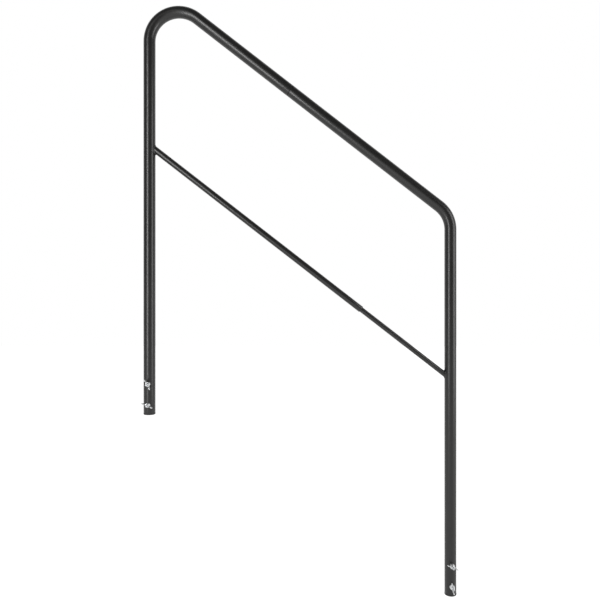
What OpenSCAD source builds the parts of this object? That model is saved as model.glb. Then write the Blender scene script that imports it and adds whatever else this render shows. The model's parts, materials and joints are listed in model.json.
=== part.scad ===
// Pool handrail: two bent tubes that plug together in the sloping rail, a telescoping brace
// below it, and two cross bolts with wing nuts in each leg to fix it to a pool step.
// Origin: centre of the lower leg's foot. +X runs from the upper leg to the lower leg,
// +Z is up, and the wing nuts face -Y. Millimetres.

/* [Frame] */
// Distance between the axes of the two legs
leg_spacing = 737; // [600:1:900]
// Angle of the rail and the brace to level
slope = 37.8; // [30:0.1:45]
// Upper leg, from its foot up to where its axis meets the rail's axis
upper_leg = 1060; // [880:1:1280]
// Lower leg, from its foot up to where its axis meets the rail's axis
lower_leg = 929; // [770:1:1120]
// Radius of both bends, at the tube's axis
bend_r = 72; // [50:1:90]
// How far the tube swells in its bends, all round
bend_swell = 0.02; // [0.01:0.01:0.1]

/* [Frame tube] */
// Outer diameter of the legs and the rail
tube_d = 28.6; // [22:0.1:36]
// Wall of the legs and the rail
tube_wall = 1.2; // [0.9:0.1:2]

/* [Rail joint] */
// Seam in the rail, measured along the rail from the lower corner
seam_at = 494; // [300:1:600]
// Reduced end of the lower half that plugs into the upper half
spigot_len = 70; // [40:1:90]
// Radial clearance of every tube that slides in another
slide_gap = 0.1; // [0.05:0.01:0.2]

/* [Brace] */
// Height of the rail's axis above the brace's axis
brace_drop = 401; // [250:1:480]
// Outer diameter of the brace's larger tube
brace_d = 15.9; // [12:0.1:20]
// Wall of both brace tubes
brace_wall = 1.5; // [1:0.1:2]
// End of the larger tube, measured along the brace from the lower leg's axis
brace_step = 277; // [150:1:450]
// How far the smaller tube runs on inside the larger one
brace_overlap = 95; // [60:1:150]
// Height and width of the weld beads
weld_bead = 2.6; // [1.5:0.1:4]
// Gap between a leg and the shaped end of a brace tube, closed by the weld
weld_root = 0.05; // [0.05:0.01:0.2]

/* [End caps] */
// Thickness of the cap below the tube's end
cap_flange = 4; // [3:0.1:8]
// Rounding of the cap's bottom edge
cap_round = 3; // [1:0.1:3]
// How far the cap stands out past the tube, all round
cap_lip = 0.3; // [0:0.1:1]
// Length of the plug inside the tube
cap_plug = 14; // [8:0.5:15]
// Wall of the plug
cap_wall = 2; // [1.2:0.1:3]
// Radial clearance of the plug in the tube
cap_gap = 0.05; // [0.02:0.01:0.1]

/* [Bolts] */
// Thread diameter
bolt_d = 6; // [5:0.1:7.2]
// Lower bolt's axis above the foot
bolt_height = 25.4; // [24:0.1:40]
// Distance between the two bolts of a leg
bolt_spacing = 50.8; // [36:0.1:80]
// Bolt that stands out past the wing nut's hub
bolt_tail = 10.6; // [10.2:0.1:16]
// Chamfer on the bolt's free end
bolt_chamfer = 0.8; // [0.3:0.1:1.5]
// Width of the hexagonal head across its flats
head_af = 10; // [8:0.1:13]
// Height of the hexagonal head
head_h = 4; // [3:0.1:6]
// Radial clearance of the bolt in the leg's holes
hole_gap = 0.3; // [0.1:0.05:0.8]

/* [Washers] */
// Outer diameter
washer_d = 12; // [10:0.1:16]
// Thickness
washer_t = 1.6; // [1:0.1:2.5]
// Radial clearance on the bolt
washer_gap = 0.2; // [0.1:0.05:0.5]

/* [Wing nuts] */
// Diameter of the hub at the washer
hub_d = 12; // [10:0.1:14]
// Diameter of the hub at its outer end
hub_top_d = 10; // [8.5:0.1:12]
// Height of the hub
hub_h = 7.4; // [5:0.1:9]
// Width over both wings
wing_span = 29; // [24:0.1:36]
// Height of the wings above the nut's seat
wing_h = 14; // [11:0.1:18]
// Radius of the wings' round tips
wing_tip_r = 3.4; // [2:0.1:4]
// Thickness of the wings
wing_t = 2.4; // [1.5:0.1:3.5]
// Radial clearance of the nut on the bolt's thread
thread_gap = 0.05; // [0.03:0.01:0.1]
// Gap between a nut, its washer and the leg, so that the nut turns freely
seat_gap = 0.1; // [0.05:0.01:0.2]
// Turn of the upper leg's top nut, clockwise from level as seen from the front
upper_top_turn = 61; // [0:0.5:180]
// Turn of the upper leg's bottom nut
upper_bottom_turn = 23; // [0:0.5:180]
// Turn of the lower leg's top nut
lower_top_turn = 24; // [0:0.5:180]
// Turn of the lower leg's bottom nut
lower_bottom_turn = 80.5; // [0:0.5:180]

/* [Hidden] */
$fn = 96;
// How far a cutting body runs past what it cuts
cut = 1;

tube_r = tube_d / 2;
bore_r = tube_r - tube_wall;
// Height of the upper corner, where the upper leg's axis meets the rail's
upper_corner = lower_leg + leg_spacing * tan(slope);
// Height of the upper leg's foot above the lower leg's foot
foot_rise = upper_corner - upper_leg;
rail_len = leg_spacing / cos(slope);
// A bend's tangent points lie this far from its corner
upper_tangent = bend_r * tan((90 + slope) / 2);
lower_tangent = bend_r * tan((90 - slope) / 2);

// The swage is a 45 degree shoulder, and the upper half's mouth rests on it
spigot_r = bore_r - slide_gap;
swage_len = tube_r - spigot_r;
mouth_at = seam_at + tube_wall + seat_gap;

brace_r = brace_d / 2;
brace_inner_r = brace_r - brace_wall - slide_gap;
brace_z = lower_leg - brace_drop;

bolt_r = bolt_d / 2;
// Places along a bolt's axis, from the leg's axis towards the nut
head_seat = -tube_r - washer_t;
washer_seat = tube_r + seat_gap;
nut_seat = washer_seat + washer_t + seat_gap;
bolt_tip = nut_seat + hub_h + bolt_tail;

// Each bolt as [x, z, turn of its nut]
upper_bottom = [-leg_spacing, foot_rise + bolt_height, upper_bottom_turn];
upper_top = [-leg_spacing, foot_rise + bolt_height + bolt_spacing, upper_top_turn];
lower_bottom = [0, bolt_height, lower_bottom_turn];
lower_top = [0, bolt_height + bolt_spacing, lower_top_turn];

powder_black = [0.13, 0.13, 0.13];
plastic_black = [0.07, 0.07, 0.07];
zinc = [0.78, 0.79, 0.8];

// Runs children's +Z up the slope, from the lower leg's axis at the given height
module up_slope(height) {
    translate([0, 0, height]) rotate([0, slope - 90, 0]) children();
}

// Points children's +Z out of the front of the leg, at one bolt
module at_bolt(place) {
    translate([place[0], 0, place[1]]) rotate([90, 0, 0]) children();
}

// Everything on the +Y side of the XZ plane, as far as a bend reaches
module beyond_joint() {
    reach = bend_r + tube_d;
    translate([-reach, 0, -reach]) cube(2 * reach);
}

// Bar of radius r that stands on the origin: a leg of the given height, a bend over towards -X,
// and a rail of the given length on from it, with children at its end.
// The bend is a ring cut off in the very planes where the straight runs start, and it swells a
// little past them, so that its edges stay clear of theirs.
module bent_bar(r, leg, turn, rail) {
    translate([-bend_r, 0, leg]) rotate([90, 0, 0]) {
        translate([bend_r, 0, 0]) rotate([90, 0, 0]) cylinder(r = r, h = leg);
        difference() {
            rotate([0, 0, 180]) rotate_extrude() translate([bend_r, 0])
                circle(r = r + bend_swell);
            rotate([0, 0, 180]) beyond_joint();
            rotate([0, 0, turn]) beyond_joint();
        }
        rotate([0, 0, turn]) {
            translate([bend_r, 0, 0]) rotate([-90, 0, 0]) {
                cylinder(r = r, h = rail);
                translate([0, 0, rail]) children();
            }
        }
    }
}

// The upper half as a bar of radius r, longer by extra at both ends
module upper_run(r, extra = 0) {
    translate([-leg_spacing, 0, foot_rise + cap_flange - extra]) mirror([1, 0, 0])
        bent_bar(r, upper_leg - upper_tangent - cap_flange + extra, 90 + slope,
            rail_len - upper_tangent - mouth_at + extra);
}

// The lower half as a bar of radius r that ends in a swage and a spigot of radius end_r,
// longer by extra at both ends
module lower_run(r, end_r, extra = 0) {
    translate([0, 0, cap_flange - extra])
        bent_bar(r, lower_leg - lower_tangent - cap_flange + extra, 90 - slope,
                seam_at - lower_tangent) {
            cylinder(r1 = r, r2 = end_r, h = swage_len);
            translate([0, 0, swage_len]) cylinder(r = end_r, h = spigot_len + extra);
        }
}

module bolt_hole(place) {
    at_bolt(place) cylinder(r = bolt_r + hole_gap, h = tube_d + 2 * cut, center = true);
}

module upper_frame_tube() {
    color(powder_black) difference() {
        upper_run(tube_r);
        upper_run(bore_r, cut);
        bolt_hole(upper_top);
        bolt_hole(upper_bottom);
    }
}

module lower_frame_tube() {
    color(powder_black) difference() {
        lower_run(tube_r, spigot_r);
        lower_run(bore_r, spigot_r - tube_wall, cut);
        bolt_hole(lower_top);
        bolt_hole(lower_bottom);
    }
}

// Outside of a leg with a margin, over the height where the brace meets it
module leg_bar(x, height, margin) {
    reach = 4 * brace_d;
    translate([x, 0, height - reach]) cylinder(r = tube_r + margin, h = 2 * reach);
}

module upper_brace_tube() {
    color(powder_black) difference() {
        up_slope(brace_z) translate([0, 0, brace_step])
            cylinder(r = brace_r, h = rail_len - brace_step);
        up_slope(brace_z) translate([0, 0, brace_step - cut])
            cylinder(r = brace_r - brace_wall, h = rail_len - brace_step + 2 * cut);
        leg_bar(-leg_spacing, upper_corner - brace_drop, weld_root);
    }
}

module lower_brace_tube() {
    color(powder_black) difference() {
        up_slope(brace_z) cylinder(r = brace_inner_r, h = brace_step + brace_overlap);
        up_slope(brace_z) translate([0, 0, -cut])
            cylinder(r = brace_inner_r - brace_wall, h = brace_step + brace_overlap + 2 * cut);
        leg_bar(0, brace_z, weld_root);
    }
}

// Bar of radius r along the brace's axis, from the given distance up it: on up the slope
// (side 1) or back down it (side -1)
module brace_bar(r, along, side, length) {
    up_slope(brace_z) translate([0, 0, along]) rotate([90 - 90 * side, 0, 0])
        cylinder(r = r, h = length);
}

// Bead round the joint of the leg at x, where the brace's axis is at the given height and the
// given distance along, and a brace tube of radius r on that side
module brace_weld(x, height, along, r, side) {
    color(powder_black) difference() {
        intersection() {
            leg_bar(x, height, weld_bead);
            brace_bar(r + weld_bead, along, side, 3 * tube_d);
        }
        leg_bar(x, height, 0);
        brace_bar(r, along, side, 3 * tube_d + cut);
    }
}

module foot_cap(x, z) {
    flange_r = tube_r + cap_lip;
    plug_r = bore_r - cap_gap;
    color(plastic_black) translate([x, 0, z]) difference() {
        union() {
            rotate_extrude() {
                square([flange_r - cap_round, cap_flange]);
                translate([0, cap_round]) square([flange_r, cap_flange - cap_round]);
                intersection() {
                    translate([flange_r - cap_round, cap_round]) circle(r = cap_round);
                    square([flange_r, cap_round]);
                }
            }
            cylinder(r = plug_r, h = cap_flange + cap_plug);
        }
        translate([0, 0, cap_flange]) cylinder(r = plug_r - cap_wall, h = cap_plug + cut);
    }
}

module bolt(place) {
    head_r = head_af / 2 / cos(30);
    color(zinc) at_bolt(place) {
        intersection() {
            translate([0, 0, head_seat - head_h]) cylinder(r = head_r, h = head_h, $fn = 6);
            translate([0, 0, head_seat - head_h])
                cylinder(r1 = head_af / 2, r2 = head_af / 2 + head_h * 2, h = head_h);
        }
        translate([0, 0, head_seat]) cylinder(r = bolt_r, h = bolt_tip - bolt_chamfer - head_seat);
        translate([0, 0, bolt_tip - bolt_chamfer])
            cylinder(r1 = bolt_r, r2 = bolt_r - bolt_chamfer, h = bolt_chamfer);
    }
}

module washer(place, seat) {
    color(zinc) at_bolt(place) translate([0, 0, seat]) difference() {
        cylinder(d = washer_d, h = washer_t);
        translate([0, 0, -cut]) cylinder(r = bolt_r + washer_gap, h = washer_t + 2 * cut);
    }
}

// Point where the line from p touches the circle of radius r about c, on the given side
function tangent_point(p, c, r, side) =
    let (d = norm(c - p), turn = atan2(c[1] - p[1], c[0] - p[0]) + side * asin(r / d))
        p + sqrt(d * d - r * r) * [cos(turn), sin(turn)];

// One wing, seen from the side: a round tip joined to the hub by straight edges
module wing_outline() {
    tip = [wing_span / 2 - wing_tip_r, wing_h - wing_tip_r];
    foot = [bolt_r + thread_gap + 0.3 * (hub_top_d / 2 - bolt_r), hub_h * 0.1];
    shoulder = [foot[0], hub_h * 0.92];
    translate(tip) circle(r = wing_tip_r);
    polygon([foot, tangent_point(foot, tip, wing_tip_r, -1), tip,
        tangent_point(shoulder, tip, wing_tip_r, 1), shoulder]);
}

module wing_nut(place) {
    color(zinc) at_bolt(place) translate([0, 0, nut_seat]) rotate([0, 0, -place[2]]) difference() {
        union() {
            cylinder(d1 = hub_d, d2 = hub_top_d, h = hub_h);
            for (side = [0, 180]) rotate([0, 0, side]) translate([0, wing_t / 2, 0])
                rotate([90, 0, 0]) linear_extrude(wing_t) wing_outline();
        }
        translate([0, 0, -cut]) cylinder(r = bolt_r + thread_gap, h = hub_h + 2 * cut);
    }
}

upper_frame_tube();
lower_frame_tube();
upper_brace_tube();
lower_brace_tube();
brace_weld(-leg_spacing, upper_corner - brace_drop, rail_len, brace_r, -1);  // upper_brace_weld
brace_weld(0, brace_z, 0, brace_inner_r, 1);  // lower_brace_weld
foot_cap(-leg_spacing, foot_rise);  // upper_foot_cap
foot_cap(0, 0);  // lower_foot_cap
bolt(upper_top);  // bolt_upper_leg_top
bolt(upper_bottom);  // bolt_upper_leg_bottom
bolt(lower_top);  // bolt_lower_leg_top
bolt(lower_bottom);  // bolt_lower_leg_bottom
washer(upper_top, head_seat);  // rear_washer_upper_leg_top
washer(upper_bottom, head_seat);  // rear_washer_upper_leg_bottom
washer(lower_top, head_seat);  // rear_washer_lower_leg_top
washer(lower_bottom, head_seat);  // rear_washer_lower_leg_bottom
washer(upper_top, washer_seat);  // front_washer_upper_leg_top
washer(upper_bottom, washer_seat);  // front_washer_upper_leg_bottom
washer(lower_top, washer_seat);  // front_washer_lower_leg_top
washer(lower_bottom, washer_seat);  // front_washer_lower_leg_bottom
wing_nut(upper_top);  // wing_nut_upper_leg_top
wing_nut(upper_bottom);  // wing_nut_upper_leg_bottom
wing_nut(lower_top);  // wing_nut_lower_leg_top
wing_nut(lower_bottom);  // wing_nut_lower_leg_bottom
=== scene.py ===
import bmesh
import bpy
import json
import math
from mathutils import Matrix, Vector, noise


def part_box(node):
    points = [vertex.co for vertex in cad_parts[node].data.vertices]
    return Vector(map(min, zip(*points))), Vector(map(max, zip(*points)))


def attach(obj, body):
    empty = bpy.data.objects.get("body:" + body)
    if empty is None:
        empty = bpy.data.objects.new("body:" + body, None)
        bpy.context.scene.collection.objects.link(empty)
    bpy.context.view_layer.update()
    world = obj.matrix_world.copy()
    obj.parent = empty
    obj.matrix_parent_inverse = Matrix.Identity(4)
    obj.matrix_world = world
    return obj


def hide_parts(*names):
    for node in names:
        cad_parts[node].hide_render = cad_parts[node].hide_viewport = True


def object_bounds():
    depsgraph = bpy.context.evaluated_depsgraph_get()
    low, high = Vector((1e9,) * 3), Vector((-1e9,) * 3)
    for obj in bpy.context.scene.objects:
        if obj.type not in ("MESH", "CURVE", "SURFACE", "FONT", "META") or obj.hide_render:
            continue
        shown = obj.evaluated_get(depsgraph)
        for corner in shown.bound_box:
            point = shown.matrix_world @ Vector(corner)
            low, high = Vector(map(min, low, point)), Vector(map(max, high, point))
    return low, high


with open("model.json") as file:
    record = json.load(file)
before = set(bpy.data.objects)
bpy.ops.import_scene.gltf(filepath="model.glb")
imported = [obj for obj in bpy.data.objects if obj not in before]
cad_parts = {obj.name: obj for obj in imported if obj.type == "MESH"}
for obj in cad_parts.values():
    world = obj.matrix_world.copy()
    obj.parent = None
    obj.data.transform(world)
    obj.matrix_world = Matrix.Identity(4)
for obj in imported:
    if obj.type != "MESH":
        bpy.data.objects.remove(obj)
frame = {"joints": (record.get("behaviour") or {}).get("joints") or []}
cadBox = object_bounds()
mm = 0.001
fullTurn = 2 * math.pi
across = Vector((0, 1, 0))  # the rail lies in one plane, square to this

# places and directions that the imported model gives
joints = {joint["name"]: joint for joint in frame["joints"]}
upSlope = Vector(joints["frame_slip"]["axis"]).normalized()
overSlope = Vector((upSlope.z, 0, -upSlope.x))  # square to the rail, upwards
slope = math.atan2(upSlope.z, -upSlope.x)
boltPlaces = {name[len("spin_"):]: Vector(joint["pos_m"])
              for name, joint in joints.items() if name.startswith("spin_")}
upperLegX = boltPlaces["upper_leg_top"].x
lowerLegX = boltPlaces["lower_leg_top"].x
legSpacing = lowerLegX - upperLegX
print("frame loaded: slope", round(math.degrees(slope), 2), "legs apart", round(legSpacing, 3))


class Wire:  # a socket that can stand in a sum
    def __init__(self, nodes, socket):
        self.nodes, self.socket = nodes, socket

    def maths(self, operation, *values):
        return self.nodes.add("ShaderNodeMath", {"operation": operation}, dict(enumerate(values)))

    def __add__(self, other):
        return self.maths("ADD", self, other)

    def __radd__(self, other):
        return self.maths("ADD", other, self)

    def __sub__(self, other):
        return self.maths("SUBTRACT", self, other)

    def __rsub__(self, other):
        return self.maths("SUBTRACT", other, self)

    def __mul__(self, other):
        return self.maths("MULTIPLY", self, other)

    def __rmul__(self, other):
        return self.maths("MULTIPLY", other, self)

    def above(self, level, softness):  # 0 below the level, 1 past it
        return self.nodes.add("ShaderNodeMapRange", {"interpolation_type": "SMOOTHSTEP"},
                              {"Value": self, "From Min": level, "From Max": level + softness})


class Nodes:  # one tree, and the one way of adding to it
    def __init__(self, tree):
        self.tree = tree

    def add(self, kind, settings, values, output=0):
        node = self.tree.nodes.new(kind)
        for key, value in settings.items():
            setattr(node, key, value)
        for key, value in values.items():
            if isinstance(value, Wire):
                self.tree.links.new(value.socket, node.inputs[key])
            else:
                node.inputs[key].default_value = value
        return Wire(self, node.outputs[output])

    def feed(self, node, socket, value):  # joins a wire to a node that is already there
        self.tree.links.new(value.socket, node.inputs[socket])


class Finish(Nodes):  # one material and its nodes
    def __init__(self, name, constants):
        self.material = bpy.data.materials.new(name)
        self.material.use_nodes = True
        super().__init__(self.material.node_tree)
        self.shader = self.tree.nodes["Principled BSDF"]
        for socket, value in constants.items():
            self.shader.inputs[socket].default_value = value
        self.place = self.add("ShaderNodeTexCoord", {}, {}, "Object")

    def cloud(self, scale, detail=2, place=None):
        return self.add("ShaderNodeTexNoise", {},
                        {"Vector": place or self.place, "Scale": scale, "Detail": detail})

    def tint(self, mask, dark, light):
        return self.add("ShaderNodeMix", {"data_type": "RGBA"}, {0: mask, 6: dark, 7: light}, 2)

    def specks(self, scale, size, share):  # a grain in one cell of many
        cells = {"Vector": self.place, "Scale": scale}
        near = self.add("ShaderNodeTexVoronoi", {}, cells, "Distance")
        colour = self.add("ShaderNodeTexVoronoi", {}, cells, "Color")
        pick = self.add("ShaderNodeSeparateColor", {}, {"Color": colour}, "Red")
        return (1 - near.above(size, size)) * pick.above(1 - share, 0.005)

    def drawnOut(self, direction, share):  # the place, with its lengthwise part cut to a share
        lengthwise = self.add("ShaderNodeVectorMath", {"operation": "DOT_PRODUCT"},
                              {0: self.place, 1: direction}, "Value")
        taken = self.add("ShaderNodeVectorMath", {"operation": "SCALE"},
                         {0: direction, "Scale": lengthwise * (share - 1)})
        return self.add("ShaderNodeVectorMath", {"operation": "ADD"}, {0: self.place, 1: taken})

    def wear(self, colour, roughness, heights):
        self.feed(self.shader, "Base Color", colour)
        self.feed(self.shader, "Roughness", roughness)
        relief = {}
        for height, depth in heights:  # depth in metres, each relief over the last one
            values = {"Height": height, "Distance": depth} | relief
            relief = {"Normal": self.add("ShaderNodeBump", {}, values)}
        self.feed(self.shader, "Normal", relief["Normal"])
        return self.material


powderCoat = {
    "ior": 1.45, "dark": (0.006, 0.0059, 0.0057, 1), "light": (0.0105, 0.0102, 0.0098, 1),
    "gloss": 0.29, "smudgeScale": 14, "smudges": 0.13, "mottleScale": 90, "mottleDulls": 0.06,
    "dust": (0.035, 0.034, 0.032, 1), "dustScale": 420, "dustSize": 0.1, "dustShare": 0.02, "dustDulls": 0.3,
    "peelScale": 380, "peelDepth": 0.009 * mm, "grainScale": 1900, "grainDepth": 0.004 * mm,
}
rubs = {  # fine lines where one tube slides in the other
    "colour": (0.05, 0.05, 0.051, 1), "scale": 2600, "shortened": 0.012, "level": 0.56, "softness": 0.1,
    "patchScale": 55, "patchLevel": 0.36, "patchSoftness": 0.2, "polish": 0.1, "depth": 0.006 * mm,
}


def makePowderCoat(name, rubbed=False):
    coat = Finish(name, {"IOR": powderCoat["ior"]})
    smudges = coat.cloud(powderCoat["smudgeScale"], 4)
    mottle = coat.cloud(powderCoat["mottleScale"], 3)
    peel = coat.cloud(powderCoat["peelScale"], 1)
    grain = coat.cloud(powderCoat["grainScale"], 2)
    dust = coat.specks(powderCoat["dustScale"], powderCoat["dustSize"], powderCoat["dustShare"])
    colour = coat.tint(mottle, powderCoat["dark"], powderCoat["light"])
    colour = coat.tint(dust, colour, powderCoat["dust"])
    roughness = powderCoat["gloss"] + (smudges - 0.5) * powderCoat["smudges"]
    roughness = roughness + mottle * powderCoat["mottleDulls"] + dust * powderCoat["dustDulls"]
    heights = [(peel, powderCoat["peelDepth"]), (grain, powderCoat["grainDepth"])]
    if rubbed:
        lines = coat.cloud(rubs["scale"], 2, coat.drawnOut(tuple(upSlope), rubs["shortened"]))
        patches = coat.cloud(rubs["patchScale"], 2).above(rubs["patchLevel"], rubs["patchSoftness"])
        lines = lines.above(rubs["level"], rubs["softness"]) * patches
        colour = coat.tint(lines, colour, rubs["colour"])
        roughness = roughness - lines * rubs["polish"]
        heights.append((1 - lines, rubs["depth"]))
    return coat.wear(colour, roughness, heights)


boreSteel = {
    "mill": (0.2, 0.19, 0.18, 1), "rust": (0.1, 0.075, 0.055, 1), "bloomScale": 60, "bloomLevel": 0.35,
    "bloomSoftness": 0.35, "gloss": 0.42, "bloomDulls": 0.3,
    "streakScale": 1400, "shortened": 0.05, "streakDepth": 0.02 * mm,
}


def makeBoreSteel():
    steel = Finish("boreSteel", {"Metallic": 1.0})
    bloom = steel.cloud(boreSteel["bloomScale"], 4)
    streaks = steel.cloud(boreSteel["streakScale"], 2, steel.drawnOut(tuple(upSlope), boreSteel["shortened"]))
    rust = bloom.above(boreSteel["bloomLevel"], boreSteel["bloomSoftness"])
    colour = steel.tint(rust, boreSteel["mill"], boreSteel["rust"])
    roughness = boreSteel["gloss"] + bloom * boreSteel["bloomDulls"]
    return steel.wear(colour, roughness, [(streaks, boreSteel["streakDepth"])])


mouldedPlastic = {
    "ior": 1.47, "dark": (0.009, 0.009, 0.0095, 1), "light": (0.016, 0.016, 0.0165, 1),
    "scuffed": (0.05, 0.05, 0.05, 1), "scuffScale": 240, "scuffLevel": 0.6, "scuffSoftness": 0.14,
    "scuffs": 0.5, "scuffDulls": 0.16, "gloss": 0.46, "flowScale": 70, "flowDulls": 0.1,
    "grainScale": 2600, "grainDepth": 0.03 * mm,
}


def makeMouldedPlastic():
    plastic = Finish("mouldedPlastic", {"IOR": mouldedPlastic["ior"]})
    flow = plastic.cloud(mouldedPlastic["flowScale"], 3)
    grain = plastic.cloud(mouldedPlastic["grainScale"], 2)
    scuffs = plastic.cloud(mouldedPlastic["scuffScale"], 4)
    scuffs = scuffs.above(mouldedPlastic["scuffLevel"], mouldedPlastic["scuffSoftness"])
    colour = plastic.tint(flow, mouldedPlastic["dark"], mouldedPlastic["light"])
    colour = plastic.tint(scuffs * mouldedPlastic["scuffs"], colour, mouldedPlastic["scuffed"])
    roughness = mouldedPlastic["gloss"] + flow * mouldedPlastic["flowDulls"]
    roughness = roughness + scuffs * mouldedPlastic["scuffDulls"]
    return plastic.wear(colour, roughness, [(grain, mouldedPlastic["grainDepth"])])


zinc = {
    # the plated finish is darker than bright zinc: partly the plating's own tone and partly painted shade, so
    # the bolt tips show as dark dots in the wing nuts' hubs
    "plated": {"dark": (0.26, 0.27, 0.28, 1), "light": (0.5, 0.51, 0.52, 1), "gloss": 0.22,
               "grainDepth": 0.006 * mm},
    "cast": {"dark": (0.46, 0.47, 0.48, 1), "light": (0.8, 0.81, 0.81, 1), "gloss": 0.3,
             "grainDepth": 0.02 * mm},
    "bloomScale": 260, "bloomLevel": 0.3, "bloomSoftness": 0.4, "bloomDulls": 0.14,
    "grime": (0.13, 0.115, 0.1, 1), "grimeScale": 420, "grimeLevel": 0.6, "grimeSoftness": 0.16,
    "grimeShare": 0.45, "grimeDulls": 0.35, "grainScale": 2400, "grainDulls": 0.08,
    "pitScale": 1300, "pitSize": 0.16, "pitShare": 0.12, "pitGrime": 0.3,
}


def makeZinc(name, surface):
    metal = Finish(name, {"Metallic": 1.0})
    bloom = metal.cloud(zinc["bloomScale"], 4)
    grain = metal.cloud(zinc["grainScale"], 3)
    pits = metal.specks(zinc["pitScale"], zinc["pitSize"], zinc["pitShare"])
    grime = metal.cloud(zinc["grimeScale"], 4).above(zinc["grimeLevel"], zinc["grimeSoftness"])
    grime = grime * zinc["grimeShare"]
    bright = bloom.above(zinc["bloomLevel"], zinc["bloomSoftness"])
    colour = metal.tint(bright, surface["dark"], surface["light"])
    colour = metal.tint(grime + pits * zinc["pitGrime"], colour, zinc["grime"])
    roughness = surface["gloss"] + bloom * zinc["bloomDulls"] + grime * zinc["grimeDulls"]
    roughness = roughness + grain * zinc["grainDulls"]
    depth = surface["grainDepth"]
    return metal.wear(colour, roughness, [(grain, depth), (1 - pits, depth * 2)])


coatMaterial = makePowderCoat("powderCoat")
rubbedMaterial = makePowderCoat("rubbedPowderCoat", rubbed=True)
boreMaterial = makeBoreSteel()
plasticMaterial = makeMouldedPlastic()
# bolts and washers get the darkened plate, which is partly painted shade; the wing nuts keep the bright cast
# zinc
shadeDarkenedZincMaterial = makeZinc("zincPlate", zinc["plated"])
castMaterial = makeZinc("castZinc", zinc["cast"])
print("finishes made")


meshRules = {"doubled": 0.0005 * mm, "crispFrom": math.radians(38)}


def cleaned(mesh):  # joins doubled points and turns every face outwards
    work = bmesh.new()
    work.from_mesh(mesh)
    bmesh.ops.remove_doubles(work, verts=work.verts, dist=meshRules["doubled"])
    bmesh.ops.recalc_face_normals(work, faces=work.faces)
    work.to_mesh(mesh)
    work.free()
    return mesh


def skin(rings, closed=False, bands=()):  # quads from ring to ring; bands are their materials
    sides, count = len(rings[0]), len(rings)
    faces, finishes = [], []
    for low in range(count if closed else count - 1):
        high = (low + 1) % count
        for k in range(sides):
            after = (k + 1) % sides
            faces.append((low * sides + k, low * sides + after,
                          high * sides + after, high * sides + k))
            finishes.append(bands[low] if bands else 0)
    mesh = bpy.data.meshes.new("skin")
    mesh.from_pydata([point for ring in rings for point in ring], [], faces)
    mesh.polygons.foreach_set("material_index", finishes)
    return cleaned(mesh)


def softened(corners, steps=4):  # a closed outline; each corner is (x, y, how far it is rounded)
    outline = []
    for k, (x, y, fillet) in enumerate(corners):
        corner = Vector((x, y))
        if not fillet:
            outline.append(corner)
            continue
        before = (Vector(corners[k - 1][:2]) - corner).normalized() * fillet
        after = (Vector(corners[(k + 1) % len(corners)][:2]) - corner).normalized() * fillet
        for step in range(steps + 1):
            t = step / steps
            outline.append(corner + before * (1 - t) ** 2 + after * t ** 2)
    return outline


def lathe(corners, sides, closed=True):  # turns an outline of (radius, height) round +Z
    rings = [[Vector((p.x * math.cos(k * fullTurn / sides), p.x * math.sin(k * fullTurn / sides), p.y))
              for k in range(sides)] for p in softened(corners)]
    return skin(rings, closed)


def putInScene(name, data):
    thing = bpy.data.objects.new(name, data)
    bpy.context.scene.collection.objects.link(thing)
    return thing


def modified(body):  # the mesh that the object's modifiers give
    return bpy.data.meshes.new_from_object(body.evaluated_get(bpy.context.evaluated_depsgraph_get()))


def cutFrom(mesh, cutters):  # takes each cutter mesh away
    body = putInScene("body", mesh)
    helpers = []
    for cutter in cutters:
        helper = putInScene("cutter", cutter)
        change = body.modifiers.new("cut", "BOOLEAN")
        change.operation, change.solver, change.object = "DIFFERENCE", "EXACT", helper
        helpers.append(helper)
    result = modified(body)
    for spare in helpers + [body]:
        bpy.data.objects.remove(spare)
    return cleaned(result)


def addPiece(name, mesh, node, body, slotName, *materials):
    mesh.name = name
    mesh.materials.clear()
    for material in materials:
        mesh.materials.append(material)
    mesh.polygons.foreach_set("use_smooth", [True] * len(mesh.polygons))
    mesh.set_sharp_from_angle(angle=meshRules["crispFrom"])
    piece = putInScene(name, mesh)
    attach(piece, body)
    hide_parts(node)
    return piece


def outOfLeg(place, along=0):  # turns a piece's +Z out of the front of the leg, at one bolt
    return Matrix.Translation((place.x, -along, place.z)) @ Matrix.Rotation(math.pi / 2, 4, "X")


frameTube = {
    "lowerLeg": 929 * mm,  # from the lower foot up to where its axis meets the rail's
    "radius": 14.3 * mm, "wall": 1.2 * mm, "bendRadius": 72 * mm,
    "seamAt": 494 * mm, "spigotLength": 70 * mm, "slideGap": 0.1 * mm,
    "edge": 0.35 * mm, "innerEdge": 0.6, "boreMargin": 0.02 * mm,
    "holeRadius": 3.3 * mm, "holeSides": 48,
    "sides": 96, "bendStep": math.radians(2), "straightStep": 45 * mm,
}
bore = frameTube["radius"] - frameTube["wall"]
spigotRadius = bore - frameTube["slideGap"]
swage = frameTube["radius"] - spigotRadius
mouthAt = frameTube["seamAt"] + frameTube["wall"] + frameTube["slideGap"]
railLength = legSpacing / math.cos(slope)
lowerCorner = Vector((lowerLegX, 0, frameTube["lowerLeg"]))
upperCorner = lowerCorner + upSlope * railLength


def makeRun(tubeNode, corner, towards, turn, railEnd):  # a leg, a bend and a rail as one line
    tangent = frameTube["bendRadius"] * math.tan(turn / 2)
    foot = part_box(tubeNode)[0].z
    leg = corner.z - tangent - foot
    run = {"towards": towards, "turn": turn, "leg": leg, "bend": frameTube["bendRadius"] * turn,
           "centre": Vector((corner.x + towards * frameTube["bendRadius"], 0, foot + leg))}
    run["length"] = leg + run["bend"] + railEnd - tangent
    return run


def runPlace(run, along):  # the axis and the direction away from the bend's centre
    past = along - run["leg"]
    angle = max(0, min(run["turn"], past / frameTube["bendRadius"]))
    heading = Vector((run["towards"] * math.sin(angle), 0, math.cos(angle)))
    outward = Vector((-run["towards"] * math.cos(angle), 0, math.sin(angle)))
    straight = min(past, 0) + max(past - run["bend"], 0)
    return run["centre"] + outward * frameTube["bendRadius"] + heading * straight, outward


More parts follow.
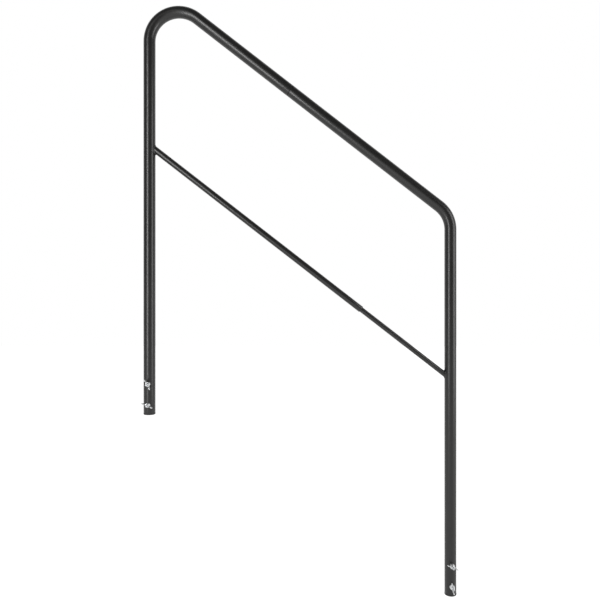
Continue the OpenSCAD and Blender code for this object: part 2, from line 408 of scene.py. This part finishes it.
def runMarks(run):
    bends = max(1, round(run["turn"] / frameTube["bendStep"]))
    marks = [run["leg"] + run["bend"] * k / bends for k in range(bends + 1)]
    for start, end in ((0, run["leg"]), (run["leg"] + run["bend"], run["length"])):
        count = max(1, round((end - start) / frameTube["straightStep"]))
        marks += [start + (end - start) * k / count for k in range(1, count)]
    return sorted(marks)


def sweepTube(run, corners, boreFrom, rubFrom=None):  # corners are (along, radius, rounding)
    outline = softened(corners, 3)
    marks, stations, bands = runMarks(run), [], []
    for k, here in enumerate(outline):
        after = outline[(k + 1) % len(outline)]
        near, far = min(here.x, after.x) + mm / 2, max(here.x, after.x) - mm / 2
        passed = [mark for mark in marks if near < mark < far]
        if after.x < here.x:
            passed.reverse()
        stations.append(here)
        for mark in passed:
            share = (mark - here.x) / (after.x - here.x)
            stations.append(Vector((mark, here.y + (after.y - here.y) * share)))
    rings = []
    for station in stations:
        axis, outward = runPlace(run, station.x)
        rings.append([axis + (outward * math.cos(k * fullTurn / frameTube["sides"])
                              + across * math.sin(k * fullTurn / frameTube["sides"])) * station.y
                      for k in range(frameTube["sides"])])
    for k, station in enumerate(stations):
        after = stations[(k + 1) % len(stations)]
        inside = max(station.y, after.y) < boreFrom(min(station.x, after.x))
        rubbed = rubFrom is not None and min(station.x, after.x) > rubFrom
        bands.append(1 if inside else 2 if rubbed else 0)
    return skin(rings, closed=True, bands=bands)


def boltCutter(place):
    reach = frameTube["radius"] * 1.5
    cutter = lathe([(0, -reach, 0), (frameTube["holeRadius"], -reach, 0),
                    (frameTube["holeRadius"], reach, 0), (0, reach, 0)],
                   frameTube["holeSides"], closed=False)
    cutter.transform(outOfLeg(place))
    return cutter


def makeUpperFrameTube():
    run = makeRun("upper_frame_tube", upperCorner, 1, math.pi / 2 + slope, railLength - mouthAt)
    end, edge = run["length"], frameTube["edge"]
    innerEdge = edge * frameTube["innerEdge"]
    mesh = sweepTube(run, [(0, frameTube["radius"], edge), (end, frameTube["radius"], edge),
                           (end, bore, innerEdge), (0, bore, innerEdge)],
                     lambda along: bore + frameTube["boreMargin"])
    mesh = cutFrom(mesh, [boltCutter(boltPlaces["upper_leg_top"]),
                          boltCutter(boltPlaces["upper_leg_bottom"])])
    return addPiece("upperFrameTube", mesh, "upper_frame_tube", "upper_half", "powder_black",
                    coatMaterial, boreMaterial)


def makeLowerFrameTube():
    run = makeRun("lower_frame_tube", lowerCorner, -1, math.pi / 2 - slope, frameTube["seamAt"])
    seam, edge = run["length"], frameTube["edge"]
    end = seam + swage + frameTube["spigotLength"]
    inner = spigotRadius - frameTube["wall"]
    innerEdge = edge * frameTube["innerEdge"]

    def boreFrom(along):  # a face below this radius is the bore's; in the spigot it lies in the wall
        inside = bore if along < seam - mm else inner + frameTube["wall"] * 0.75
        return inside + frameTube["boreMargin"]

    corners = [(0, frameTube["radius"], edge), (seam, frameTube["radius"], edge),
               (seam + swage, spigotRadius, edge * 0.5), (end, spigotRadius, edge),
               (end, inner, innerEdge), (seam + swage, inner, 0), (seam, bore, 0), (0, bore, innerEdge)]
    mesh = sweepTube(run, corners, boreFrom, seam)
    mesh = cutFrom(mesh, [boltCutter(boltPlaces["lower_leg_top"]),
                          boltCutter(boltPlaces["lower_leg_bottom"])])
    return addPiece("lowerFrameTube", mesh, "lower_frame_tube", "lower_half", "powder_black",
                    coatMaterial, boreMaterial, rubbedMaterial)


makeUpperFrameTube()
makeLowerFrameTube()
print("frame tubes made")

brace = {
    "drop": 401 * mm, "radius": 7.95 * mm, "wall": 1.5 * mm, "slideGap": 0.1 * mm,
    "stepAt": 277 * mm, "overlap": 95 * mm, "rootGap": 0.05 * mm, "edge": 0.45 * mm,
    "sides": 72, "rows": 16,
}
braceStart = lowerCorner - Vector((0, 0, brace["drop"]))
braceInner = brace["radius"] - brace["wall"] - brace["slideGap"]


def braceRing(angle, radius):
    return (overSlope * math.cos(angle) + across * math.sin(angle)) * radius


def legMeeting(legX, side, legRadius, angle, radius):  # where along the brace its wall meets the leg
    spoke = braceRing(angle, radius)
    reach = legX + side * math.sqrt(legRadius ** 2 - spoke.y ** 2)
    return (reach - braceStart.x - spoke.x) / upSlope.x


def makeBraceTube(name, node, body, legX, side, squareAt, radius, material):
    legRadius = frameTube["radius"] + brace["rootGap"]
    inner, edge, rows = radius - brace["wall"], brace["edge"], brace["rows"]
    inwards = 1 if side > 0 else -1  # from the square end towards the leg
    rounded = [(0, inner + edge * 0.5), (edge * 0.15, inner + edge * 0.15), (edge * 0.5, inner)]
    nose = [(edge, radius), (edge * 0.3, radius - edge * 0.3), (0, radius - edge)]
    stations = [(0, along, r) for along, r in nose[::-1]]
    stations += [(row / rows, 0, radius) for row in range(1, rows + 1)]
    stations += [(row / rows, 0, inner) for row in range(rows, 0, -1)]
    stations += [(0, along, r) for along, r in rounded[::-1]]
    rings, bands = [], []
    for share, along, r in stations:
        ring = []
        for k in range(brace["sides"]):
            angle = k * fullTurn / brace["sides"]
            far = legMeeting(legX, side, legRadius, angle, r)
            ring.append(braceStart + upSlope * (squareAt + inwards * along + (far - squareAt) * share)
                        + braceRing(angle, r))
        rings.append(ring)
        bands.append(1 if r <= inner + edge * 0.2 else 0)
    return addPiece(name, skin(rings, closed=True, bands=bands), node, body, "powder_black",
                    material, boreMaterial)


weld = {
    "leg": 2.5 * mm, "ripple": 1.9 * mm, "rippleDepth": 0.2, "rippleLean": 0.9, "crest": 0.72,
    "wander": 0.12, "wanderScale": 170, "sink": 0.2 * mm, "stations": 240, "arc": 8, "seed": 7,
}


def makeWeld(name, node, body, legX, side, radius):
    legRadius = frameTube["radius"]
    rings, walked, last = [], 0, None
    drift = Vector((weld["seed"], legX, radius))
    for step in range(weld["stations"]):
        angle = step * fullTurn / weld["stations"]
        along = legMeeting(legX, side, legRadius, angle, radius)
        root = braceStart + upSlope * along + braceRing(angle, radius)
        offLeg = (root - Vector((legX, 0, root.z))).normalized()
        offBrace = braceRing(angle, 1)
        onLeg = (offBrace - offLeg * offBrace.dot(offLeg)).normalized()
        onBrace = upSlope * (-side)
        walked += (root - last).length if last else 0
        last = root.copy()
        wander = noise.noise(root * weld["wanderScale"] + drift)
        width = weld["leg"] * (1 + weld["wander"] * wander)
        toe = root + onLeg * width
        flat = Vector((toe.x - legX, toe.y, 0)).normalized() * (legRadius - weld["sink"])
        toe = Vector((legX + flat.x, flat.y, toe.z))
        top = root + onBrace * width - offBrace * weld["sink"]
        ring = [root - (offLeg + offBrace) * weld["sink"]]
        for k in range(weld["arc"] + 1):
            t = k / weld["arc"]
            wave = (walked / weld["ripple"] + weld["rippleLean"] * (t - 0.5) ** 2) % 1
            bulge = weld["crest"] + weld["rippleDepth"] * math.sin(math.pi * wave) ** 0.6
            crest = root + (onLeg + onBrace) * width * bulge
            ring.append(toe * (1 - t) ** 2 + crest * 2 * t * (1 - t) + top * t ** 2)
        rings.append(ring)
    return addPiece(name, skin(rings, closed=True), node, body, "powder_black", coatMaterial)


makeBraceTube("upperBraceTube", "upper_brace_tube", "upper_half", upperLegX, 1,
              brace["stepAt"], brace["radius"], coatMaterial)
makeBraceTube("lowerBraceTube", "lower_brace_tube", "lower_half", lowerLegX, -1,
              brace["stepAt"] + brace["overlap"], braceInner, rubbedMaterial)
makeWeld("upperBraceWeld", "upper_brace_weld", "upper_half", upperLegX, 1, brace["radius"])
makeWeld("lowerBraceWeld", "lower_brace_weld", "lower_half", lowerLegX, -1, braceInner)
print("brace and welds made")

footCap = {
    "radius": 14.6 * mm, "flange": 4 * mm, "round": 3 * mm, "plug": 13.05 * mm, "plugHeight": 14 * mm,
    "plugWall": 2 * mm, "recess": 0.5 * mm, "recessTo": 0.62, "rimFrom": 0.66,  # shares of the radius
    "gate": 1.6 * mm, "gateSlope": 0.3 * mm, "crisp": 0.1 * mm, "soft": 0.3 * mm, "sides": 96,
}


def makeFootCap(name, node, body, legX):
    flange, rise, deep = footCap["flange"], footCap["plugHeight"], footCap["recess"]
    radius, plug, gate = footCap["radius"], footCap["plug"], footCap["gate"]
    hollow = plug - footCap["plugWall"]
    crisp, soft = footCap["crisp"], footCap["soft"]
    cap = lathe([(0, deep * 1.5, 0), (gate, deep * 1.5, crisp), (gate + footCap["gateSlope"], deep, crisp),
                 (radius * footCap["recessTo"], deep, soft), (radius * footCap["rimFrom"], 0, soft),
                 (radius, 0, footCap["round"]), (radius, flange, 0.25 * mm), (plug, flange, crisp),
                 (plug, flange + rise, 0.7 * mm), (hollow, flange + rise, 0.4 * mm),
                 (hollow, flange, 0.5 * mm), (0, flange, 0)], footCap["sides"], closed=False)
    cap.transform(Matrix.Translation((legX, 0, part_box(node)[0].z)))
    return addPiece(name, cap, node, body, "black_plastic", plasticMaterial)


makeFootCap("upperFootCap", "upper_foot_cap", "upper_half", upperLegX)
makeFootCap("lowerFootCap", "lower_foot_cap", "lower_half", lowerLegX)
print("foot caps made")

bolt = {
    "headFace": 19.9 * mm, "headHeight": 4 * mm, "headAcross": 10 * mm,
    "dish": ((0, 0.35), (0.42, 0.35), (0.6, 0.12), (0.74, 0), (0.93, 0)),  # share of the flats, mm deep
    "cornerWear": 0.08, "chamferFrom": 0.06, "chamferSlope": 0.55,
    "seatRise": 0.3 * mm, "seatEdge": 0.25 * mm,
    "radius": 3 * mm, "root": 2.42 * mm, "pitch": 1 * mm, "rootFlat": 0.2, "flank": 0.66,
    "threadFrom": 9 * mm, "tip": 34.1 * mm, "tipChamfer": 0.8 * mm, "sides": 96, "rowsPerPitch": 8,
}


def pieceName(kind, where):
    return kind + "".join(word.capitalize() for word in where.split("_"))


def makeBolt(where, body):
    place = boltPlaces[where]
    bottom = -bolt["headFace"]
    seat = bottom + bolt["headHeight"]
    flat, sides = bolt["headAcross"] / 2, bolt["sides"]
    hexagon = []
    for k in range(sides):
        corner = flat / math.cos((k * fullTurn / sides) % (math.pi / 3) - math.pi / 6)
        hexagon.append(corner - bolt["cornerWear"] * (corner - flat))
    rings = [[(flat * share, bottom + deep * mm)] * sides for share, deep in bolt["dish"]]
    for share in (0.5, 1):  # the head's turned corners
        within = flat * (share - bolt["chamferFrom"])
        rings.append([(r * share + flat * (1 - share), bottom + (r * share - within) * bolt["chamferSlope"])
                      for r in hexagon])
    rings.append([(r, seat - bolt["seatRise"]) for r in hexagon])
    rings.append([(r - bolt["seatEdge"], seat) for r in hexagon])
    rings.append([(bolt["radius"] + bolt["seatEdge"], seat)] * sides)
    rings.append([(bolt["radius"], seat + bolt["seatEdge"])] * sides)
    climb = len(rings)  # from here each row climbs one pitch in a turn
    steps = bolt["rowsPerPitch"]
    for row in range(-steps, round((bolt["tip"] - bolt["threadFrom"]) / bolt["pitch"] * steps) + 1):
        ring = []
        for k in range(sides):
            height = bolt["threadFrom"] + (row / steps + k / sides) * bolt["pitch"]
            z = min(max(height, bolt["threadFrom"]), bolt["tip"])
            fromRoot = abs(row / steps % 1 - 0.5) * 2
            flank = min(1, max(0, (fromRoot - bolt["rootFlat"]) / bolt["flank"]))
            deep = (bolt["radius"] - bolt["root"]) * (1 - flank)
            deep *= min(1, (z - bolt["threadFrom"]) / bolt["pitch"])
            turned = bolt["radius"] - bolt["tipChamfer"] + bolt["tip"] - z
            ring.append((min(bolt["radius"] - deep, turned), z))
        rings.append(ring)
    rings.append([(0, bolt["tip"])] * sides)
    points = [(r * math.cos(k * fullTurn / sides), r * math.sin(k * fullTurn / sides), z)
              for ring in rings for k, (r, z) in enumerate(ring)]
    faces = []
    for low in range(len(rings) - 1):
        for k in range(sides):
            after, lift = (k + 1) % sides, 0
            if after == 0 and climb <= low < len(rings) - 2:
                lift = steps
            lowNext, highNext = (min(row + lift, len(rings) - 2) if lift else row
                                 for row in (low, low + 1))
            faces.append((low * sides + k, lowNext * sides + after, highNext * sides + after,
                          (low + 1) * sides + k))
    mesh = bpy.data.meshes.new("bolt")
    mesh.from_pydata(points, [], faces)
    cleaned(mesh)
    mesh.transform(outOfLeg(place))
    return addPiece(pieceName("bolt", where), mesh, "bolt_" + where, body, "zinc_plate", shadeDarkenedZincMaterial)


washer = {
    "bore": 3.2 * mm, "radius": 6 * mm, "thick": 1.6 * mm, "front": 14.4 * mm, "rear": -15.9 * mm,
    "sharp": 0.12 * mm, "rolled": 0.35 * mm, "boreEdge": 0.3 * mm, "sides": 72,
}


def makeWasher(name, node, body, place, seat):  # stamped: one edge rolled over, the other sharp
    inner, outer, top = washer["bore"], washer["radius"], seat + washer["thick"]
    mesh = lathe([(inner, seat, washer["sharp"]), (outer, seat, washer["sharp"]),
                  (outer, top, washer["rolled"]), (inner, top, washer["boreEdge"])], washer["sides"])
    mesh.transform(outOfLeg(place))
    return addPiece(name, mesh, node, body, "zinc_plate", shadeDarkenedZincMaterial)


wingNut = {
    "seat": 16.1 * mm, "hubHeight": 7.4 * mm, "hubFoot": 6 * mm, "footHeight": 1.6 * mm,
    "footRound": 0.6 * mm, "hubTop": 5 * mm, "topRound": 0.9 * mm, "bore": 3.05 * mm,
    "countersink": 0.5 * mm,
    "span": 29 * mm, "height": 14 * mm, "lobe": 3.4 * mm,
    "root": (1.5 * mm, 3.7 * mm), "bend": (8 * mm, 3.4 * mm),  # out from the bolt, up from the seat
    "width": (3.5, 3.1, 2.75, 2.85, 3.4), "thick": (2.4, 1.9, 1.4, 1.25, 1.2),  # mm, half, hub to lobe
    "squareness": 0.62, "endBluntness": 0.35, "rows": 16, "endRows": 9, "sides": 40,
    "voxel": 0.27 * mm, "smoothing": 7, "facedTo": 9 * mm, "turnedSides": 64, "facingSides": 32,
    "turned": {"upper_leg_top": 61, "upper_leg_bottom": 23, "lower_leg_top": 24, "lower_leg_bottom": 80.5},
}


def readAlong(values, share):  # reads a short list as an even curve
    at = share * (len(values) - 1)
    low = min(int(at), len(values) - 2)
    return values[low] + (values[low + 1] - values[low]) * (at - low)


def wingStations():  # centre, heading, half width and half thickness, from the hub to the lobe's end
    reach, rows, ends = wingNut["lobe"], wingNut["rows"], wingNut["endRows"]
    root, bend = Vector(wingNut["root"]), Vector(wingNut["bend"])
    lobe = Vector((wingNut["span"] / 2 - reach, wingNut["height"] - reach))
    stations = []
    for row in range(rows + 1):
        t = row / rows
        centre = root * (1 - t) ** 2 + bend * 2 * t * (1 - t) + lobe * t ** 2
        heading = ((bend - root) * (1 - t) + (lobe - bend) * t).normalized()
        stations.append((centre, heading, readAlong(wingNut["width"], t) * mm,
                         readAlong(wingNut["thick"], t) * mm))
    for row in range(1, ends + 1):  # the rounded end
        angle = row / ends * math.pi / 2
        thin = wingNut["thick"][-1] * mm * max(0, math.cos(angle)) ** wingNut["endBluntness"]
        stations.append((lobe + heading * reach * math.sin(angle), heading, reach * math.cos(angle), thin))
    return [(root, stations[0][1], 0, 0)] + stations


def squared(value):  # swells a circle's cosine or sine towards a square
    return math.copysign(abs(value) ** wingNut["squareness"], value)


def makeWing(side):
    rings = []
    for centre, heading, width, thick in wingStations():
        ring = []
        for k in range(wingNut["sides"]):
            angle = k * fullTurn / wingNut["sides"]
            u, v = squared(math.cos(angle)), squared(math.sin(angle))
            ring.append(Vector(((centre.x - heading.y * width * u) * side, v * thick,
                                centre.y + heading.x * width * u)))
        rings.append(ring)
    return skin(rings)


def castTogether(meshes):  # one skin round them all, with the joins smoothed
    casting = bmesh.new()
    for mesh in meshes:
        casting.from_mesh(mesh)
    mesh = bpy.data.meshes.new("casting")
    casting.to_mesh(mesh)
    casting.free()
    body = putInScene("casting", mesh)
    fuse = body.modifiers.new("fuse", "REMESH")
    fuse.mode, fuse.voxel_size = "VOXEL", wingNut["voxel"]
    tumble = body.modifiers.new("tumble", "SMOOTH")
    tumble.factor, tumble.iterations = 0.5, wingNut["smoothing"]
    mesh = modified(body)
    bpy.data.objects.remove(body)
    return mesh


def makeWingNutMesh():  # cast in one with its wings, then drilled and faced
    foot, top, hub = wingNut["hubFoot"], wingNut["hubTop"], wingNut["hubHeight"]
    turned = wingNut["turnedSides"]
    blank = lathe([(0, -1 * mm, 0), (foot, -1 * mm, 0), (foot, wingNut["footHeight"], wingNut["footRound"]),
                   (top, hub, wingNut["topRound"]), (0, hub, 0)], turned, closed=False)
    mesh = castTogether([blank, makeWing(1), makeWing(-1)])
    bore, sink, past = wingNut["bore"], wingNut["countersink"], 1.5 * mm
    wide = bore + sink + 1.5 * mm
    drill = lathe([(0, -past, 0), (wide, -past, 0), (bore, sink, 0), (bore, hub - sink, 0),
                   (wide, hub + past, 0), (0, hub + past, 0)], turned, closed=False)
    faced = wingNut["facedTo"]
    facing = lathe([(0, -2 * mm, 0), (faced, -2 * mm, 0), (faced, 0, 0), (0, 0, 0)],
                   wingNut["facingSides"], closed=False)
    return cutFrom(mesh, [facing, drill])


wingNutMesh = makeWingNutMesh()
for where, place in boltPlaces.items():
    half = where.split("_")[0] + "_half"
    makeBolt(where, half)
    makeWasher(pieceName("rearWasher", where), "rear_washer_" + where, half, place, washer["rear"])
    makeWasher(pieceName("frontWasher", where), "front_washer_" + where, "washer_" + where, place,
               washer["front"])
    nut = wingNutMesh.copy()
    spun = Matrix.Rotation(-math.radians(wingNut["turned"][where]), 4, "Z")
    nut.transform(outOfLeg(place, wingNut["seat"]) @ spun)
    addPiece(pieceName("wingNut", where), nut, "wing_nut_" + where, "nut_" + where, "zinc_plate",
             castMaterial)
print("bolts, washers and wing nuts made")

floorPaper = {
    "reach": 8, "drop": 0.3 * mm, "glow": 0.9, "glowGrain": 0.04, "grainScale": 30, "grainDepth": 0.1 * mm,
    "dark": (0.33, 0.33, 0.33, 1), "light": (0.37, 0.37, 0.37, 1), "gloss": 0.8, "grainDulls": 0.1,
}


def makeFloor():
    reach, level = floorPaper["reach"], cadBox[0].z - floorPaper["drop"]
    corners = [(x * reach, y * reach, level) for x, y in ((-1, -1), (1, -1), (1, 1), (-1, 1))]
    mesh = bpy.data.meshes.new("floor")
    mesh.from_pydata(corners, [], [(0, 1, 2, 3)])
    floor = putInScene("studioFloor", mesh)
    paper = Finish("studioPaper", {"Emission Strength": 1.0})
    grain = paper.cloud(floorPaper["grainScale"], 4)
    brighter = floorPaper["glow"] + floorPaper["glowGrain"]
    glow = paper.tint(grain, (floorPaper["glow"],) * 3 + (1,), (brighter,) * 3 + (1,))
    paper.feed(paper.shader, "Emission Color", glow)
    colour = paper.tint(grain, floorPaper["dark"], floorPaper["light"])
    roughness = floorPaper["gloss"] + grain * floorPaper["grainDulls"]
    mesh.materials.append(paper.wear(colour, roughness, [(grain, floorPaper["grainDepth"])]))


lamps = {
    "stripLight": {"place": (-1.52, -1.6, 1.15), "towards": (-0.37, 0, 1.0),
                   "size": (0.4, 1.75), "power": 30},
    "softLight": {"place": (1.6, -0.85, 1.1), "towards": (-0.2, 0, 0.9),
                  "size": (1.0, 1.8), "power": 26},
}


def makeLight(name, setup):
    lamp = bpy.data.lights.new(name, "AREA")
    lamp.shape = "RECTANGLE"
    lamp.size, lamp.size_y = setup["size"]
    lamp.energy = setup["power"]
    light = putInScene(name, lamp)
    light.location = setup["place"]
    aim = Vector(setup["towards"]) - Vector(setup["place"])
    light.rotation_euler = aim.to_track_quat("-Z", "Y").to_euler()
    light.visible_camera = False


sky = {"front": 0.14, "behind": 1.0, "turnsFrom": -0.1, "turnsTo": 0.5}


def makeSky():  # dim in front, white behind, and white wherever the camera sees it
    world = bpy.data.worlds.new("studio")
    bpy.context.scene.world = world
    world.use_nodes = True
    nodes = Nodes(world.node_tree)
    direction = nodes.add("ShaderNodeTexCoord", {}, {}, "Generated")
    backwards = nodes.add("ShaderNodeSeparateXYZ", {}, {0: direction}, "Y")
    level = nodes.add("ShaderNodeMapRange", {"interpolation_type": "SMOOTHSTEP"},
                      {"Value": backwards, "From Min": sky["turnsFrom"], "From Max": sky["turnsTo"],
                       "To Min": sky["front"], "To Max": sky["behind"]})
    seen = nodes.add("ShaderNodeLightPath", {}, {}, "Is Camera Ray")
    level = level.maths("MAXIMUM", level, seen)
    nodes.feed(nodes.tree.nodes["Background"], "Color", level)


view = {"place": (-0.3684, -1.5, 0.7208), "lens": 36.74}


def makeCamera():
    camera = putInScene("camera", bpy.data.cameras.new("camera"))
    camera.location = view["place"]
    camera.rotation_euler = (math.pi / 2, 0, 0)
    camera.data.lens = view["lens"]
    bpy.context.scene.camera = camera


makeFloor()
for name, setup in lamps.items():
    makeLight(name, setup)
makeSky()
makeCamera()
bpy.context.scene.view_settings.view_transform = "Standard"
print("studio ready")
